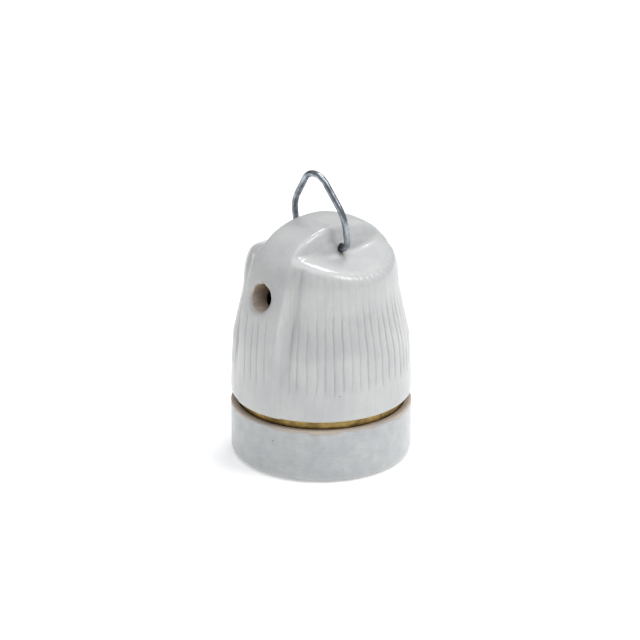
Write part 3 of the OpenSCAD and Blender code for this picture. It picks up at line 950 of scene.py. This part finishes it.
def bailPath():
    s = bailSet
    tip = (0, s["rise"] + s["crownBend"] * (1 / math.sin(math.radians(s["leanIn"])) - 1))
    knee = (s["half"] + 0.1, s["kneeAt"])
    corners = [(s["pinLong"] - s["half"], 0), (-s["half"], 0), (-knee[0], knee[1]), tip]
    corners += [knee, (s["half"], 0), (s["half"] - s["pinLong"], 0)]
    bends = [s["pinBend"], s["kneeBend"], s["crownBend"], s["kneeBend"], s["pinBend"]]
    path = [Vector(corners[0])]
    for before, corner, after, bend in zip(corners, corners[1:], corners[2:], bends):
        corner = Vector(corner)
        inWay, outWay = (corner - Vector(before)).normalized(), (Vector(after) - corner).normalized()
        turn = inWay.angle_signed(outWay)
        trim = bend * math.tan(abs(turn) / 2)
        side = Vector((-inWay.y, inWay.x)) * (-1 if turn > 0 else 1)
        start = corner - inWay * trim
        centre = start + side * bend
        for i in range(17):
            swing = abs(turn) * i / 16
            path.append(centre - side * bend * math.cos(swing) + inWay * bend * math.sin(swing))
    return path + [Vector(corners[-1])]


def buildBail():
    s = bailSet
    path = bailPath()
    spaced = [path[0]]
    for point in path[1:]:
        gap = (point - spaced[-1]).length
        spaced += [spaced[-1].lerp(point, i / max(1, round(gap))) for i in range(1, max(1, round(gap)))] + [point]
    lean = math.radians(s["lean"])
    curve = bpy.data.curves.new("bailWire", "CURVE")
    curve.dimensions = "3D"
    curve.bevel_depth = s["wireR"] * mm
    curve.bevel_resolution = s["sides"] // 4
    curve.use_fill_caps = True
    line = curve.splines.new("POLY")
    line.points.add(len(spaced) - 1)
    for point, (y, rise) in zip(line.points, spaced):
        point.co = (-rise * math.sin(lean) * mm, (y + s["shift"]) * mm, (s["pivotZ"] + rise * math.cos(lean)) * mm, 1)
    piece = bpy.data.objects.new("bailWire", curve)
    bpy.context.collection.objects.link(piece)
    makeActive(piece)
    bpy.ops.object.convert(target="MESH")
    piece = bpy.context.object
    outwardFaces(piece, 0.001)
    return piece


bail = buildBail()
smoothShade(bail, 50)
finishPiece(bail, "bail", metals["galvanisedWire"], "zinc_wire", "bail")


studio = {
    "distance": 0.9,
    "elevation": 21.5,
    "bearing": 227.0,
    "aim": (-0.0003, 0.0003, 0.0469),
    "focal": 149.0,
    "floorGlow": 0.3,
    "air": 0.3,
    "airColour": (0.95, 0.97, 1, 1),
    "softboxes": {
        "softboxRight": {"bearing": 66, "elevation": 52, "distance": 1.1, "size": (0.4, 0.4), "watts": 4.2},
        "softboxFront": {"bearing": -25, "elevation": 72, "distance": 1.2, "size": (0.8, 0.8), "watts": 4.8},
        "softboxTop": {"bearing": 150, "elevation": 68, "distance": 1.1, "size": (0.4, 0.3), "watts": 4.8},
    },
}


def wayTo(bearing, elevation):
    b, e = math.radians(bearing), math.radians(elevation)
    return Vector((math.cos(b) * math.cos(e), math.sin(b) * math.cos(e), math.sin(e)))


def buildStudio():
    s = studio
    toCamera = wayTo(s["bearing"], s["elevation"])
    clearSelection()
    bpy.ops.object.camera_add(location=Vector(s["aim"]) + toCamera * s["distance"],
                              rotation=(-toCamera).to_track_quat("-Z", "Y").to_euler())
    camera = bpy.context.object
    camera.data.lens = s["focal"]
    camera.data.sensor_width = 36
    bpy.context.scene.camera = camera

    bpy.ops.mesh.primitive_plane_add(size=6.0, location=(0, 0, 0))
    floor = bpy.context.object
    floor.name = "floor"
    material, tree, shader = newMaterial("paleStudioFloor")
    shader.inputs["Base Color"].default_value = linearColour("fafafa")
    shader.inputs["Roughness"].default_value = 0.9
    shader.inputs["Emission Color"].default_value = (1, 1, 1, 1)
    shader.inputs["Emission Strength"].default_value = s["floorGlow"]
    floor.data.materials.append(material)
    floor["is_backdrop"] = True

    for name, box in s["softboxes"].items():
        way = wayTo(s["bearing"] + box["bearing"], box["elevation"])
        bpy.ops.object.light_add(type="AREA", location=Vector((0, 0, 0.05)) + way * box["distance"],
                                 rotation=(-way).to_track_quat("-Z", "Y").to_euler())
        lamp = bpy.context.object
        lamp.name = name
        lamp.data.shape = "RECTANGLE"
        lamp.data.size, lamp.data.size_y = box["size"]
        lamp.data.energy = box["watts"]

    air = bpy.data.worlds.new("studioAir")
    air.use_nodes = True
    air.node_tree.nodes["Background"].inputs[0].default_value = s["airColour"]
    air.node_tree.nodes["Background"].inputs[1].default_value = s["air"]
    bpy.context.scene.world = air
    bpy.context.scene.view_settings.view_transform = "Standard"
    print("studio ready")


buildStudio()

sizes = {"cad": cadBox, "visual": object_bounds()}
sizes = {name: [[float(v) for v in corner] for corner in box] for name, box in sizes.items()}
